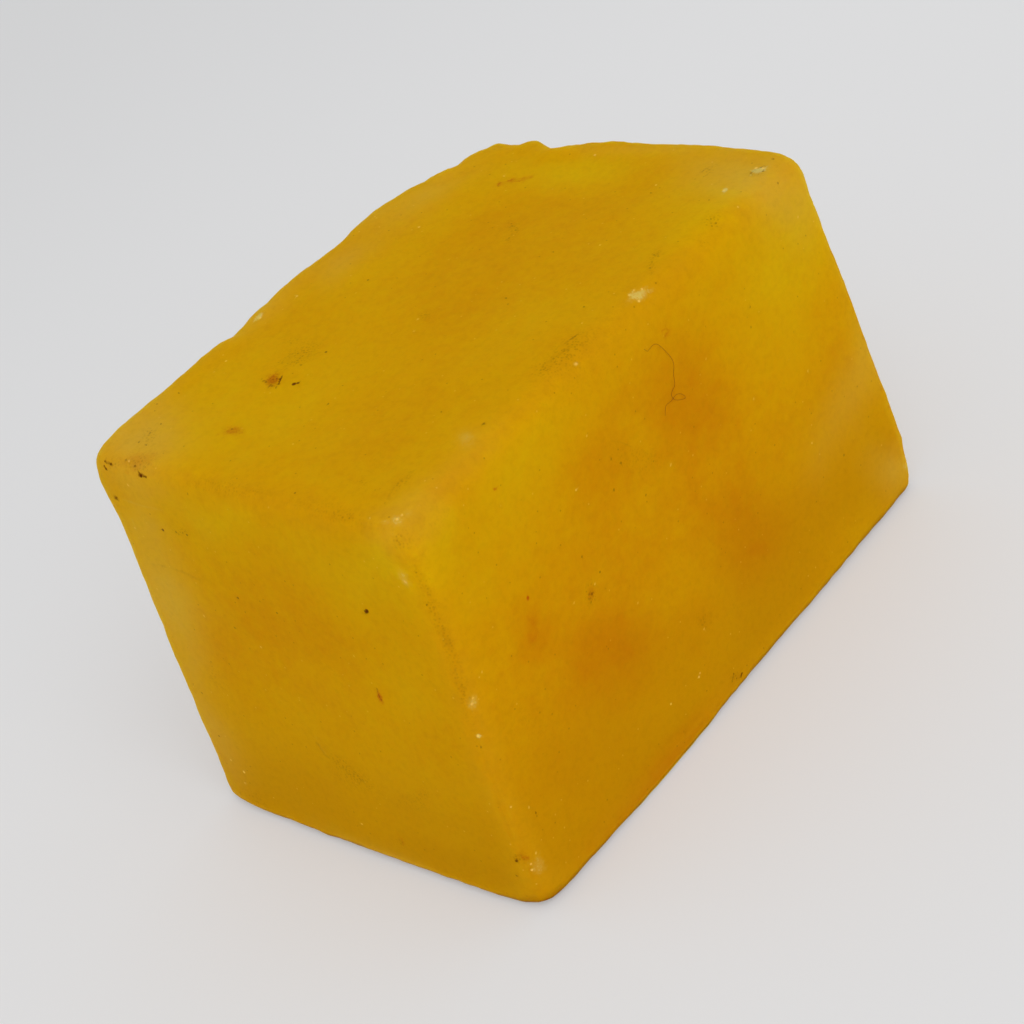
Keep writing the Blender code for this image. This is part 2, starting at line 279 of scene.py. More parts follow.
DARK_DOTS = (
    (367, 611, 2.5, 2.4), (294, 384, 2.7, 2.8), (298, 383, 2.1, 1.9), (141, 476, 2.2, 1.8),
    (163, 530, 2.0, 1.6), (326, 352, 1.7, 1.5), (111, 464, 1.8, 1.2), (280, 379, 1.9, 1.2),
    (238, 598, 1.7, 1.4), (106, 469, 1.7, 1.1), (279, 384, 1.7, 0.9), (266, 382, 1.8, 0.7),
    (272, 386, 1.8, 0.7), (187, 535, 1.7, 1.0), (176, 532, 1.5, 0.7), (516, 861, 1.7, 0.9),
    (763, 171, 1.7, 0.8), (751, 173, 1.7, 0.7), (773, 159, 1.7, 0.6), (277, 613, 1.5, 0.9),
    (135, 466, 1.8, 0.8), (146, 477, 1.6, 0.8), (295, 493, 1.6, 0.8), (592, 594, 2.0, 0.8),
    (591, 602, 1.5, 0.5), (368, 280, 1.6, 0.8), (219, 736, 1.5, 0.9), (600, 572, 1.6, 0.8),
    (582, 557, 1.3, 0.6), (232, 429, 1.8, 0.6), (621, 463, 1.5, 0.8), (611, 459, 1.4, 0.5),
    (614, 490, 1.8, 0.7), (126, 460, 1.6, 0.6), (506, 298, 1.5, 0.7), (508, 304, 1.3, 0.4),
    (139, 442, 1.6, 0.6), (146, 445, 1.5, 0.5), (150, 433, 1.4, 0.5), (328, 404, 1.5, 0.7),
    (536, 813, 1.5, 0.7), (301, 365, 1.7, 0.5), (778, 183, 1.4, 0.6), (427, 605, 1.5, 0.6),
    (235, 628, 1.5, 0.6), (161, 424, 1.4, 0.6), (202, 693, 1.5, 0.6), (584, 307, 1.4, 0.6),
    (654, 255, 1.3, 0.5), (658, 256, 1.3, 0.5), (652, 262, 1.2, 0.4), (650, 268, 1.2, 0.5),
    (711, 219, 1.3, 0.5), (716, 223, 1.3, 0.6), (712, 226, 1.2, 0.5), (512, 226, 1.3, 0.6),
    (516, 230, 1.3, 0.5), (509, 238, 1.3, 0.5), (709, 200, 1.3, 0.5), (651, 193, 1.4, 0.6),
    (656, 283, 1.4, 0.5), (481, 747, 1.4, 0.6), (844, 455, 1.5, 0.6), (750, 307, 1.3, 0.5),
    (751, 327, 1.3, 0.5), (646, 495, 1.4, 0.6), (441, 412, 1.4, 0.5), (179, 393, 1.4, 0.5),
    (157, 404, 1.6, 0.4), (553, 252, 1.3, 0.5), (517, 876, 1.4, 0.6), (451, 757, 1.3, 0.4),
)

# name, kind, half width, amount, points across and down
STROKES = (
    ("smudge_line_a", "soil", 0.9, 0.75, ((276, 388), (279, 383), (282, 376))),
    ("smudge_line_b", "soil", 0.8, 0.55, ((268, 388), (274, 381), (280, 374))),
    ("smudge_line_c", "soil", 0.9, 0.50, ((263, 381), (270, 380))),
    ("smudge_scratch_a", "soil", 1.6, 0.16, ((276, 372), (292, 362), (306, 357), (322, 352))),
    ("smudge_scratch_b", "soil", 1.4, 0.14, ((280, 364), (296, 355), (312, 348))),
    ("corner_stroke_a", "soil", 1.0, 0.75, ((105, 461), (110, 464), (114, 467))),
    ("corner_stroke_b", "soil", 0.9, 0.65, ((104, 466), (107, 470))),
    ("corner_stroke_c", "soil", 1.0, 0.70, ((138, 471), (142, 476), (146, 477))),
    ("left_pale_scratch_a", "bruise", 1.0, 0.28, ((125, 500), (142, 506), (160, 510))),
    ("left_pale_scratch_b", "bruise", 1.0, 0.28, ((132, 519), (136, 530))),
    ("left_brown_scratch", "soil", 0.9, 0.50, ((377, 689), (378, 694), (381, 699), (384, 703))),
    ("low_scratch_a", "soil", 1.4, 0.26, ((317, 743), (325, 755), (338, 764), (352, 776))),
    ("low_scratch_b", "bruise", 1.0, 0.22, ((316, 737), (321, 748), (326, 754))),
    ("low_scratch_c", "soil", 1.3, 0.22, ((352, 768), (360, 778), (369, 788))),
    ("ridge_smear_a", "soil", 1.0, 0.42, ((563, 345), (571, 339), (578, 334))),
    ("ridge_smear_b", "soil", 1.6, 0.20, ((541, 368), (556, 357), (570, 347), (584, 337))),
    ("ridge_line_a", "soil", 1.2, 0.22, ((388, 498), (392, 490), (400, 481), (414, 471))),
    ("left_edge_line_a", "soil", 3.4, 0.10, ((196, 478), (240, 486), (275, 494), (300, 503))),
    ("left_edge_line_b", "soil", 2.8, 0.10, ((300, 503), (335, 516), (372, 527))),
    ("upright_line_a", "soil", 4.0, 0.11, ((416, 568), (430, 596), (440, 622), (446, 645))),
    ("upright_line_b", "soil", 3.6, 0.10, ((446, 645), (454, 668), (462, 690))),
    ("upright_line_c", "soil", 2.4, 0.07, ((484, 755), (498, 795), (512, 840))),
    ("rim_line_a", "soil", 1.3, 0.22, ((152, 564), (168, 567), (182, 572), (200, 580))),
    ("hatch_a", "soil", 0.9, 1.0, ((734, 674), (732, 681))),
    ("hatch_b", "soil", 0.8, 0.95, ((738, 673), (737, 678))),
    ("hatch_c", "soil", 0.8, 0.95, ((742, 673), (741, 677))),
    ("faint_hair", "soil", 0.8, 0.30, ((611, 441), (620, 442), (628, 445), (634, 448))),
    ("graze_line", "soil", 0.9, 0.45, ((749, 174), (756, 169), (764, 166), (771, 167))),
    ("far_squiggle", "soil", 0.8, 0.45, (
        (702, 172), (706, 168), (711, 170), (707, 175), (703, 177),
    )),
    ("ridge_curl", "rust", 0.9, 0.50, ((662, 331), (666, 328), (669, 331), (666, 334))),
    # painted shade, in the rust colour, along the right-hand silhouette, darkening its thin bright
    # rim
    ("end_rim_shade_line", "rust", 2.0, 0.30, (
        (831, 251), (842, 278), (856, 318), (871, 358), (881, 385), (896, 425), (904, 453),
    )),
    ("foot_squiggle", "rust", 1.0, 0.40, ((398, 835), (402, 839), (403, 845))),
    ("orange_curl", "rust", 2.0, 0.30, ((528, 618), (533, 623), (537, 632), (534, 641))),
    ("back_streak", "rust", 3.2, 0.58, ((500, 184), (510, 181), (520, 180), (530, 177))),
)

# name, then points along the stone's outline: across, down, outward push in millimetres
RIM_SWELLS = (
    ("back_left_rim", (
        (97, 454, 0.0), (104, 442, 0.05), (114, 432, 0.13), (136, 413, 0.13), (158, 395, 0.13),
        (180, 376, 0.11), (202, 357, 0.12), (224, 340, 0.11), (236, 332, -0.07), (246, 322, -0.07),
        (256, 311, 0.07), (267, 302, 0.10), (277, 292, 0.20), (288, 283, 0.17), (298, 273, 0.13),
        (310, 265, 0.05), (321, 256, 0.0), (333, 248, -0.05), (353, 228, 0.0), (364, 219, -0.07),
        (375, 210, -0.06), (387, 202, -0.07), (399, 195, -0.04), (424, 181, -0.03),
    )),
    ("broken_rim", (
        (424, 181, -0.03), (436, 173, 0.16), (449, 167, 0.28), (462, 160, 0.11), (473, 152, 0.08),
        (487, 148, -0.10), (500, 144, -0.07), (514, 144, 0.22), (528, 141, 0.20), (542, 143, 0.13),
        (556, 147, 0.27), (570, 144, 0.29), (584, 143, 0.13), (598, 142, 0.16), (612, 141, 0.23),
        (626, 141, 0.17), (640, 142, 0.08), (654, 144, -0.05), (668, 144, -0.07), (710, 145, 0.0),
        (724, 147, 0.01), (738, 148, 0.09), (752, 150, 0.13), (766, 151, 0.13), (780, 154, 0.10),
        (793, 160, 0.07), (807, 184, 0.07), (811, 198, -0.03),
    )),
    ("end_rim", (
        (811, 198, -0.03), (822, 224, 0.0), (831, 251, -0.10), (842, 278, -0.16), (856, 318, -0.17),
        (871, 358, -0.17), (881, 385, -0.14), (887, 398, -0.06), (896, 425, 0.02), (901, 439, 0.10),
        (904, 453, 0.0), (906, 481, -0.17), (891, 505, -0.06), (869, 530, -0.09), (851, 553, -0.03),
        (813, 597, 0.0), (776, 640, -0.02), (739, 685, -0.01), (720, 707, 0.07), (712, 719, 0.13),
        (684, 752, 0.13), (655, 785, 0.13), (637, 806, 0.10), (617, 827, 0.04), (598, 849, 0.0),
        (569, 881, -0.06), (549, 901, -0.10),
    )),
    ("left_foot_rim", (
        (549, 901, -0.10), (535, 903, -0.10), (507, 896, -0.01), (493, 893, 0.03), (466, 883, -0.05),
        (439, 874, -0.06), (413, 864, -0.12), (386, 855, -0.13), (345, 840, -0.14), (332, 834, -0.14),
        (318, 829, -0.09), (305, 824, -0.03), (278, 814, 0.0), (264, 809, 0.07), (251, 804, 0.13),
        (239, 796, 0.02), (230, 785, -0.13), (213, 746, -0.05), (196, 706, -0.09), (174, 654, -0.05),
        (158, 614, 0.04), (142, 574, -0.03), (121, 521, -0.07), (107, 495, 0.04), (101, 482, 0.07),
        (97, 454, 0.0),
    )),
)

MARK_TABLES = {
    "cloud": CLOUDS, "glow": GLOWS, "warm": WARMS, "rim_sheen": RIM_SHEENS,
    "bruise": BRUISES, "soil": SOILS, "rust": RUSTS, "grime": GRIMES,
}
SOFT_KINDS = ("cloud", "glow", "warm", "rim_sheen", "grime")
DOT_TABLES = {"pale_dot": PALE_DOTS, "dark_dot": DARK_DOTS}

# kind, count, smallest and largest radius in millimetres, least and most amount
STRAYS = (
    ("cloud", 16, 2.0, 5.0, (0.3, 0.6)),
    ("glow", 12, 2.0, 5.0, (0.3, 0.6)),
    ("rim_sheen", 10, 1.5, 3.5, (0.3, 0.7)),
    ("bruise", 16, 0.10, 0.45, (0.4, 0.9)),
    ("soil", 26, 0.06, 0.13, (0.6, 1.0)),
    ("soil", 8, 0.25, 0.60, (0.15, 0.3)),
    ("grime", 18, 0.3, 1.6, (0.4, 1.0)),
    ("rust", 8, 0.08, 0.40, (0.3, 0.8)),
)

LINT_PATH = (
    (644, 349), (647, 352), (649, 349.5), (653, 344.4), (657, 343.8), (662, 347.6), (666, 352),
    (670, 356), (673, 361), (674, 367), (673, 374), (674, 378), (675, 385), (673, 389), (671, 393),
    (672, 398), (675, 400), (679, 400), (684, 399), (686, 397), (682, 394), (679, 393.5), (675, 395),
    (672, 400.5), (667, 404), (665, 407), (665, 416),
)

# ---------------------------------------------------------------- skin, wear and relief
# Lengths are millimetres. A noise is a row of (lump size, strength).

WELD_DISTANCE = 1e-7       # metres, for corners of the solid that lie on each other
FACET_ROUNDS = 24          # rounds that smooth the solid's facets away
FACET_SHARES = (0.5, -0.53)  # moves in and back out again in one round, so that nothing shrinks
BASE_BAND = 0.05           # what lies lower than this is the flat base
BASE_EXACT = 0.001         # and this finds it again once it is exactly flat
EDGE_SPREAD = 12           # rounds that spread a worn edge over its sides
EDGE_LEAST = 0.002         # bend at which an edge starts to count
EDGE_BEND = 0.012          # and how much more makes it a full one
EDGE_FADE = 2.5            # height over which a foot edge turns into an upper edge
EDGE_FILL = 0.07           # outward push along a worn edge
EDGE_KNOCKS = ((0.7, 0.038),)
WAVES = ((4.0, 0.035), (1.7, 0.018), (0.8, 0.009))
WAVE_FADE = 2.0            # height over which the waves set in
RIM_WIDTH = 1.5            # reach of a rim swell to either side
SMALL_MARK = 0.2           # a mark with a half width below this gets the smallest faces
STRONG_DOT = 0.75          # and so does a grain with a strength above this
# reach of the smaller faces beyond a mark and beyond a grain, and whether only small marks get them
REFINE_ROUNDS = ((0.15, 0.14, False), (0.09, 0.06, False), (0.05, 0.02, True))
STROKE_MARGIN = 0.7        # share of that reach beside a scratch
SEARCH_STEPS = 60          # frame steps that a mark may start outside the stone
LEAST_SLANT = 0.25         # a spot on a face seen more edge-on than this isn't stretched further
FULL_SLANT = 0.5           # and lies fully in the face above this
HIDDEN_FACING = 0.1        # how far a side has to turn away before strays fall on it
HIDDEN_GAIN = 4.0          # how fast strays fade towards the seen sides
STRAY_HEIGHT = 0.3         # lowest place of a stray
STRAY_ROUNDNESS = (0.5, 1.0)  # shorter half axis of a stray, as a share of the longer one
RAGGED = ((0.35, 0.35), (0.12, 0.45))  # rims of hard marks
BILLOWS = ((3.0, 0.25), (1.2, 0.12))   # and of soft ones
BREAKS = ((0.45, 0.9),)                # gaps in the scratches
BREAK_LEVEL = 0.70         # share of a scratch that stays where its noise is even
SOFT_FALL = 1.15           # how fast a soft spot fades
SPOT_RIM = 1.2             # where a hard spot ends, as a share of its half axes
SPOT_FALL = 1.2
STROKE_RIM = 1.6           # where a scratch ends, as a share of its half width
STROKE_FALL = 1.1
DOT_PEAK = 1.5             # strength in a grain's middle
CRUMBS = ((0.11, 0.020),)  # crumbled relief in a bruise
BRUISE_DEPTH = 0.018
SOIL_DEPTH = 0.008
LINT_LIFT = 1.2            # height of the fibre's middle over the stone, in radii

# ---------------------------------------------------------------- rays, noise and laid marks

NOISE_TABLE = 256
NOISE_GAIN = 1.6
TINY = 1e-12


def camera_ray(across, down):
    """Direction of the camera's ray through a place in its frame."""
    half = SENSOR_WIDTH / LENS_LENGTH / 2
    middle = FRAME_SIDE / 2
    right = (across - middle) / middle * half
    up = (middle - down) / middle * half
    return (CAMERA_AHEAD + CAMERA_RIGHT * right + CAMERA_UP * up).normalized()


class Surface:
    """The stone's skin, as something to lay marks on. Works in millimetres."""

    def __init__(self, places, faces):
        self.tree = BVHTree.FromPolygons([Vector(p) for p in places], faces)

    def seen_at(self, across, down):
        """Point and normal that the camera sees at a place in its frame, moved in from outside."""
        here = Vector((across, down))
        middle = Vector(FRAME_MIDDLE)
        for _ in range(SEARCH_STEPS):
            point, normal, _, _ = self.tree.ray_cast(CAMERA_PLACE, camera_ray(*here))
            if point is not None:
                return point, normal
            here += (middle - here).normalized()
        raise RuntimeError("a mark lies far outside the stone: %r" % ((across, down),))


def smooth_noise(places, lump, seed):
    """Gradient noise of about -1 to 1 at places, with lumps of the given size."""
    rng = np.random.default_rng(seed)
    table = rng.permutation(NOISE_TABLE)
    slopes = rng.normal(size=(NOISE_TABLE, 3))
    slopes /= np.linalg.norm(slopes, axis=1)[:, None]
    grid = places / lump
    cell = np.floor(grid).astype(np.int64)
    part = grid - cell
    fade = part * part * part * (part * (part * 6 - 15) + 10)
    total = np.zeros(len(places))
    last = NOISE_TABLE - 1
    for step in itertools.product((0, 1), repeat=3):
        corner = (cell + step) & last
        index = table[(table[corner[:, 0]] + corner[:, 1]) & last]
        index = table[(index + corner[:, 2]) & last]
        reach = part - step
        share = np.prod(np.where(step, fade, 1 - fade), axis=1)
        total += share * np.einsum("ij,ij->i", slopes[index], reach)
    return total * NOISE_GAIN


def layered_noise(places, lumps, seed):
    """Sum of smooth noises, each with its own lump size and strength."""
    return sum(
        smooth_noise(places, lump, seed + row) * strength
        for row, (lump, strength) in enumerate(lumps)
    )


def ease(values):
    """Smooth step of values from 0 to 1."""
    held = np.clip(values, 0, 1)
    return held * held * (3 - 2 * held)


class Spot:
    """An oval patch on the stone, given by its middle, its two half axes and its normal."""

    def __init__(self, kind, middle, first, second, normal, amount, stray=False):
        self.kind = kind
        self.amount = amount
        self.stray = stray
        self.middle = np.array(middle)
        lengths = (np.linalg.norm(first), np.linalg.norm(second))
        self.radius = max(lengths)
        self.small = min(lengths) < SMALL_MARK
        axes = np.array([first, second, np.array(normal) * min(lengths)])
        self.measure = np.linalg.inv(axes.T).T

    def away(self, places):
        """Distance of places from the middle, 1 at the rim."""
        return np.linalg.norm((places - self.middle) @ self.measure, axis=1)


def seen_spot(surface, kind, at, size, turn, amount):
    """A spot laid along the camera's ray."""
    middle, normal = surface.seen_at(*at)
    ray = camera_ray(*at)
    depth = (middle - CAMERA_PLACE).length
    slant = max(LEAST_SLANT, -ray.dot(normal))
    angle = math.radians(turn)
    axes = []
    for length, way in ((size[0], angle), (size[1], angle + math.pi / 2)):
        end = camera_ray(at[0] + math.cos(way) * length, at[1] - math.sin(way) * length)
        step = (end - ray) * depth
        step += ray * (-step.dot(normal) / ray.dot(normal)) * min(1.0, slant / FULL_SLANT)
        axes.append(step)
    return Spot(kind, middle, axes[0], axes[1], normal, amount)


def stray_spots(places, normals, seed):
    """Spots of every kind on the sides that the camera doesn't see."""
    rng = np.random.default_rng(seed)
    facing = normals @ np.array(CAMERA_AHEAD)
    hidden = np.flatnonzero((facing > HIDDEN_FACING) & (places[:, 2] > STRAY_HEIGHT))
    spots = []
    for kind, count, small, large, amounts in STRAYS:
        for _ in range(count):
            row = hidden[rng.integers(len(hidden))]
            normal = normals[row]
            first = np.cross(normal, rng.normal(size=3))
            first /= np.linalg.norm(first)
            second = np.cross(normal, first)
            sizes = rng.uniform(small, large) * np.array([1.0, rng.uniform(*STRAY_ROUNDNESS)])
            amount = rng.uniform(*amounts)
            spots.append(Spot(
                kind, places[row], first * sizes[0], second * sizes[1], normal, amount, stray=True
            ))
    return spots


def stroke_distance(places, line, heights=None):
    """Distance from places to a line of points, and the line's height at the nearest spot."""
    best = np.full(len(places), np.inf)
    height = np.zeros(len(places))
    for row, (start, end) in enumerate(zip(line, line[1:])):
        along = end - start
        part = np.clip((places - start) @ along / max(along @ along, TINY), 0, 1)
        away = np.linalg.norm(places - start - part[:, None] * along, axis=1)
        nearer = away < best
        best[nearer] = away[nearer]
        if heights:
            here = heights[row] + part * (heights[row + 1] - heights[row])
            height[nearer] = here[nearer]
    return best, height


def frame_size_at(point):
    """Millimetres on the stone that one step of the camera's frame covers."""
    depth = (point - CAMERA_PLACE).dot(CAMERA_AHEAD)
    return depth * SENSOR_WIDTH / LENS_LENGTH / FRAME_SIDE


# ---------------------------------------------------------------- settings


class SapphireStoneSettings(bpy.types.PropertyGroup):
    mesh_step: FloatProperty(
        name="Mesh step", description="Width of the faces that the stone's skin is made of",
        default=0.31 * MM, unit="LENGTH", precision=5,
    )
    body_colour: FloatVectorProperty(
        name="Body", description="Colour of the milky stone", subtype="COLOR", size=3,
        default=(0.690, 0.332, 0.0012), min=0, max=1,
    )
    cloud_colour: FloatVectorProperty(
        name="Clouds", description="Colour of the orange clouds in the stone", subtype="COLOR",
        size=3, default=(0.595, 0.185, 0.0010), min=0, max=1,
    )
    # clearer stone, and painted light on the left face
    clear_and_lit_colour: FloatVectorProperty(
        name="Glow", description="Colour where the stone is clearest", subtype="COLOR", size=3,
        default=(0.715, 0.425, 0.0020), min=0, max=1,
    )
    # painted shade: the stone turns darker towards its base
    foot_shade_colour: FloatVectorProperty(
        name="Foot", description="Deeper colour near the base", subtype="COLOR", size=3,
        default=(0.575, 0.262, 0.0010), min=0, max=1,
    )
    edge_colour: FloatVectorProperty(
        name="Worn edges", description="Duller colour along the rubbed edges", subtype="COLOR",
        size=3, default=(0.615, 0.318, 0.004), min=0, max=1,
    )
    # painted reflection: the pale sheen of the rubbed, frosted rims
    rim_sheen_colour: FloatVectorProperty(
        name="Rim sheen", description="Colour of the rubbed, frosted rims", subtype="COLOR", size=3,
        default=(0.680, 0.385, 0.026), min=0, max=1,
    )
    bruise_colour: FloatVectorProperty(
        name="Bruises", description="Colour of crushed spots", subtype="COLOR", size=3,
        default=(0.73, 0.57, 0.135), min=0, max=1,
    )
    soil_colour: FloatVectorProperty(
        name="Soil", description="Colour of dirt in the scratches", subtype="COLOR", size=3,
        default=(0.105, 0.017, 0.0005), min=0, max=1,
    )
    rust_colour: FloatVectorProperty(
        name="Rust", description="Colour of red specks and smears", subtype="COLOR", size=3,
        default=(0.50, 0.065, 0.002), min=0, max=1,
    )
    spark_colour: FloatVectorProperty(
        name="Sparks", description="Colour of tiny bright grains", subtype="COLOR", size=3,
        default=(0.95, 0.62, 0.12), min=0, max=1,
    )
    roughness: FloatProperty(
        name="Roughness", description="Roughness of the waxy skin", default=0.5, min=0, max=1,
        subtype="FACTOR",
    )
    gloss: FloatProperty(
        name="Gloss", description="Strength of the skin's reflection", default=0.004, min=0, max=1,
        subtype="FACTOR",
    )
    light_reach: FloatProperty(
        name="Light reach", description="How far light wanders inside the stone",
        default=2.0 * MM, unit="LENGTH", precision=5,
    )
    # height up to which the painted shade near the base reaches
    foot_shade_height: FloatProperty(
        name="Foot height", description="Height up to which the stone turns deeper in colour",
        default=13 * MM, unit="LENGTH", precision=4,
    )
    seed: IntProperty(name="Seed", description="Changes the fine wear and dust", default=11)


class SapphireLintSettings(bpy.types.PropertyGroup):
    thickness: FloatProperty(
        name="Thickness", description="Thickness of the fibre", default=0.018 * MM,
        unit="LENGTH", precision=6,
    )
    colour: FloatVectorProperty(
        name="Colour", description="Colour of the fibre", subtype="COLOR", size=3,
        default=(0.14, 0.018, 0.003), min=0, max=1,
    )


class SapphireStageSettings(bpy.types.PropertyGroup):
    floor_size: FloatProperty(
        name="Floor size", description="Width of the floor", default=4.0, unit="LENGTH",
    )
    floor_colour: FloatVectorProperty(
        name="Floor", description="Colour of the floor", subtype="COLOR", size=3,
        default=(0.550, 0.553, 0.562), min=0, max=1,
    )
    sky_strength: FloatProperty(
        name="Surroundings", description="Brightness of the white surroundings", default=0.60,
        min=0,
    )
    lamp_power: FloatProperty(
        name="Lamp", description="Power of the large soft lamp", default=2.15, min=0,
        subtype="POWER",
    )


# ---------------------------------------------------------------- stone mesh


def mesh_places(mesh):
    """Vertex places of a mesh in millimetres."""
    places = np.empty(len(mesh.vertices) * 3)
    mesh.vertices.foreach_get("co", places)
    return places.reshape(-1, 3) / MM


def mesh_surface(mesh):
    """The skin of a mesh as something to lay marks on."""
    return Surface(mesh_places(mesh), [tuple(face.vertices) for face in mesh.polygons])


def mesh_normals(mesh):
    """Vertex normals of a mesh."""
    normals = np.empty(len(mesh.vertices) * 3)
    mesh.vertex_normals.foreach_get("vector", normals)
    return normals.reshape(-1, 3)


def put_places(mesh, places):
    """Moves the vertices of a mesh to places in millimetres."""
    mesh.vertices.foreach_set("co", (places * MM).ravel())
    mesh.update()


def baked_mesh(helper, name):
    """Mesh of a helper object as it looks with its modifiers; the helper goes."""
    bpy.context.scene.collection.objects.link(helper)
    graph = bpy.context.evaluated_depsgraph_get()
    mesh = bpy.data.meshes.new_from_object(helper.evaluated_get(graph))
    mesh.name = name
    mesh.materials.clear()
    bpy.data.objects.remove(helper)
    return mesh


def fine_skin(node, step):
    """Even, smooth skin over a CAD node."""
    source = bpy.data.meshes.new("skin_source")
    welder = bmesh.new()
    welder.from_mesh(node.data)
    bmesh.ops.remove_doubles(welder, verts=welder.verts, dist=WELD_DISTANCE)
    welder.to_mesh(source)
    welder.free()
    helper = bpy.data.objects.new("skin_helper", source)
    even = helper.modifiers.new("even", "REMESH")
    even.mode = "VOXEL"
    even.voxel_size = step
    skin = baked_mesh(helper, STONE_PIECE)
    bpy.data.meshes.remove(source)
    neighbours = Neighbours(skin)
    places = mesh_places(skin)
    for _ in range(FACET_ROUNDS):
        for share in FACET_SHARES:
            places = places + share * (neighbours.mean(places) - places)
    put_places(skin, places)
    return skin


class Neighbours:
    """Averages over the neighbours of each vertex of a mesh."""

    def __init__(self, mesh):
        ends = np.empty(len(mesh.edges) * 2, np.int32)
        mesh.edges.foreach_get("vertices", ends)
        self.first, self.second = ends.reshape(-1, 2).T
        self.count = np.bincount(ends, minlength=len(mesh.vertices))

    def mean(self, values):
        """Mean over each vertex's neighbours, of one value or of one row of values a vertex."""
        if values.ndim == 2:
            return np.stack([self.mean(row) for row in values.T], axis=1)
        total = np.bincount(self.first, values[self.second], len(self.count))
        total += np.bincount(self.second, values[self.first], len(self.count))
        return total / self.count


def edge_share(mesh):
    """How much each point of the skin lies on a worn edge, from 0 to 1."""
    neighbours = Neighbours(mesh)
    places = mesh_places(mesh)
    normals = mesh_normals(mesh)
    bend = np.einsum("ij,ij->i", places - neighbours.mean(places), normals)
    for _ in range(EDGE_SPREAD):
        bend = neighbours.mean(bend)
    return ease((bend - EDGE_LEAST) / EDGE_BEND)


def store_layer(mesh, name, values):
    """Keeps one value from 0 to 1 for each vertex under a name that materials can read."""
    store = mesh.attributes.new(name, "FLOAT", "POINT")
    store.data.foreach_set("value", np.clip(values, 0, 1))


def keep_in_box(places, base_rows):
    """Keeps the skin inside the CAD box, with its base flat on the floor."""
    low, high = (np.array(corner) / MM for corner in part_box(STONE_NODE))
    places = np.clip(places, low, high)
    places[base_rows, 2] = low[2]
    return places


def wear_skin(mesh, edge, seed):
    """Waxy waves, and the swells and lobes of the worn rim."""
    places = mesh_places(mesh)
    normals = mesh_normals(mesh)
    base_rows = places[:, 2] < BASE_BAND
    surface = mesh_surface(mesh)
    push = layered_noise(places, WAVES, seed) * ease(places[:, 2] / WAVE_FADE)
    push += edge * (EDGE_FILL + layered_noise(places, EDGE_KNOCKS, seed + 3))
    for _, rim in RIM_SWELLS:
        line = [np.array(surface.seen_at(*point[:2])[0]) for point in rim]
        away, height = stroke_distance(places, line, [point[2] for point in rim])
        push += height * ease(1 - away / RIM_WIDTH)
    put_places(mesh, keep_in_box(places + normals * push[:, None], base_rows))


def all_spots(surface, places, normals, seed):
    """The named spots and the strays on the hidden sides."""
    spots = []
    for kind, table in MARK_TABLES.items():
        for _, at, size, turn, amount in table:
            spots.append(seen_spot(surface, kind, at, size, turn, amount))
    return spots + stray_spots(places, normals, seed)


def all_strokes(surface):
    """Kind, half width, amount and line of each named scratch, in millimetres."""
    strokes = []
    for _, kind, half_width, amount, line in STROKES:
        seen = [surface.seen_at(*at)[0] for at in line]
        width = half_width * frame_size_at(seen[0])
        strokes.append((kind, width, amount, [np.array(point) for point in seen]))
    return strokes


def all_dots(surface):
    """Kind, place, radius and strength of each tiny grain, in millimetres."""
    dots = []
    for kind, table in DOT_TABLES.items():
        for across, down, radius, strength in table:
            place = surface.seen_at(across, down)[0]
            dots.append((kind, np.array(place), radius * frame_size_at(place), strength))
    return dots


def refine_marks(mesh, spots, strokes, dots):
    """Smaller faces around the small marks and scratches, and a corner at each grain's middle."""
    shape = bmesh.new()
    shape.from_mesh(mesh)
    for margin, dot_margin, small_only in REFINE_ROUNDS:
        faces = list(shape.faces)
        middles = np.array([face.calc_center_median() for face in faces]) / MM
        near = np.zeros(len(faces), bool)
        for spot in spots:
            if spot.kind in SOFT_KINDS or (small_only and not spot.small):
                continue
            near |= np.linalg.norm(middles - spot.middle, axis=1) < spot.radius + margin
        for _, width, _, line in strokes:
            near |= stroke_distance(middles, line)[0] < width + margin * STROKE_MARGIN
        for _, place, radius, strength in dots:
            if not small_only or strength > STRONG_DOT:
                near |= np.linalg.norm(middles - place, axis=1) < radius + dot_margin
        edges = {edge for face, use in zip(faces, near) if use for edge in face.edges}
        bmesh.ops.subdivide_edges(shape, edges=list(edges), cuts=1, use_grid_fill=True)
        many = [face for face in shape.faces if len(face.verts) > 4]
        bmesh.ops.triangulate(shape, faces=many)
    corners = list(shape.verts)
    places = np.array([corner.co for corner in corners]) / MM
    for _, place, _, _ in dots:
        nearest = int(np.argmin(np.linalg.norm(places - place, axis=1)))
        corners[nearest].co = Vector(place) * MM
    shape.to_mesh(mesh)
    shape.free()


